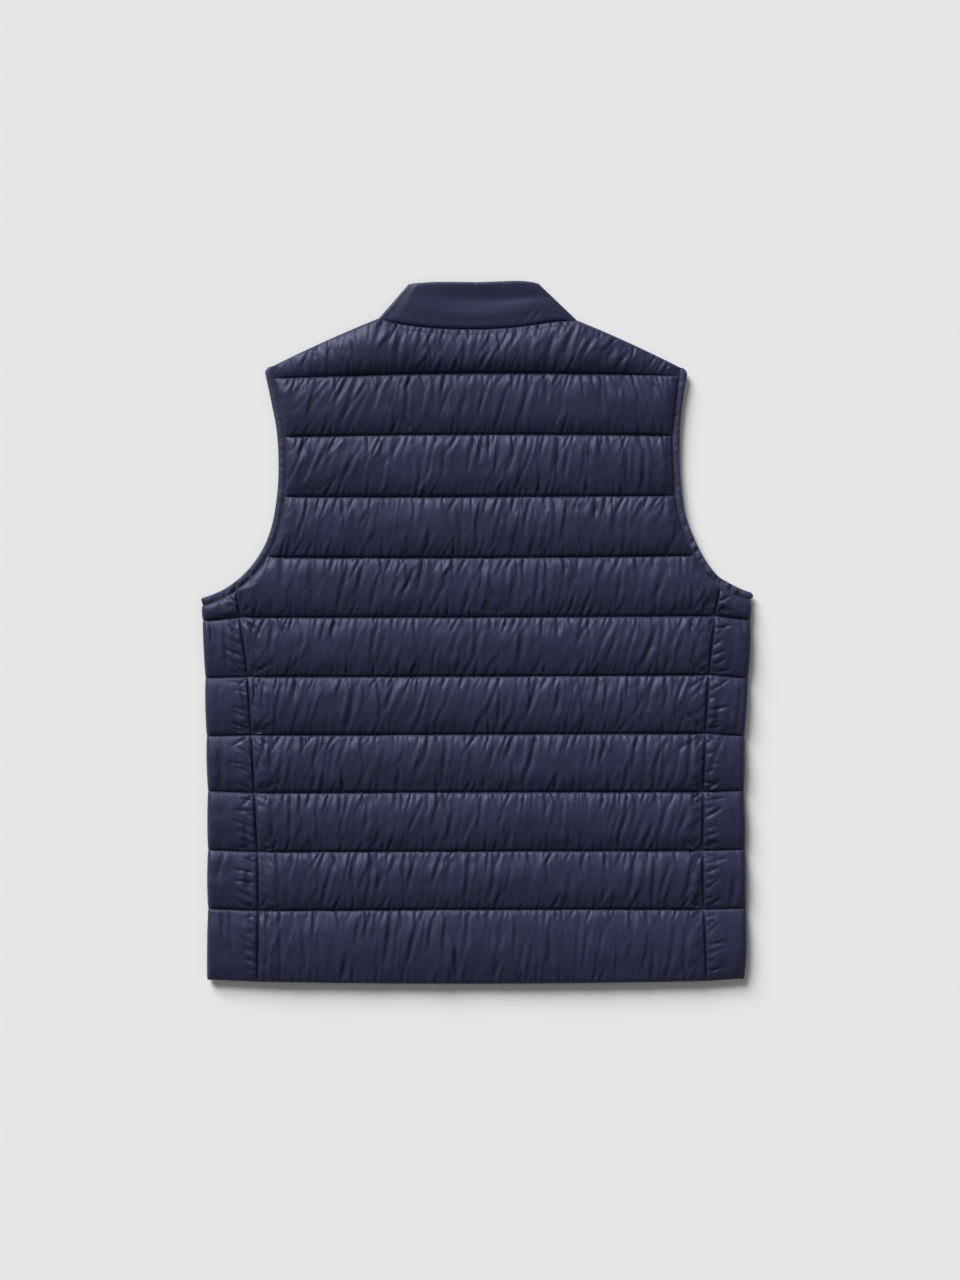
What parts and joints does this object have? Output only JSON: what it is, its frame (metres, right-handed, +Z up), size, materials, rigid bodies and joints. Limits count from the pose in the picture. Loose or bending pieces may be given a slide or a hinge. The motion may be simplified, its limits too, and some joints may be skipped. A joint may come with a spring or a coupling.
{
  "type": "lightweight vest",
  "caption": "Lightweight quilted vest with a stand collar and bound armholes, laid flat on its front with its back upwards.",
  "frame": {"origin": "on the surface that the vest lies on, under the centre of its box", "axes": "+X across the garment towards the wearer's right, +Y from the hem up to the collar, +Z up from the surface, from the fronts to the back"},
  "size_m": [0.5512, 0.7051, 0.016],
  "materials": {
    "shell": "light sheen",
    "binding": "matte",
    "tape": "matte",
    "zip_chain": "satin",
    "zip_slider": "satin"
  },
  "bodies": {
    "root": {"back": "shell", "collar": "shell", "side_panel_left": "shell", "side_panel_right": "shell", "front_left": "shell", "front_right": "shell", "armhole_binding_left": "binding", "armhole_binding_right": "binding", "zip_tape_left": "tape", "zip_tape_right": "tape", "zip_chain": "zip_chain", "zip_slider": "zip_slider"}
  },
  "joints": []
}
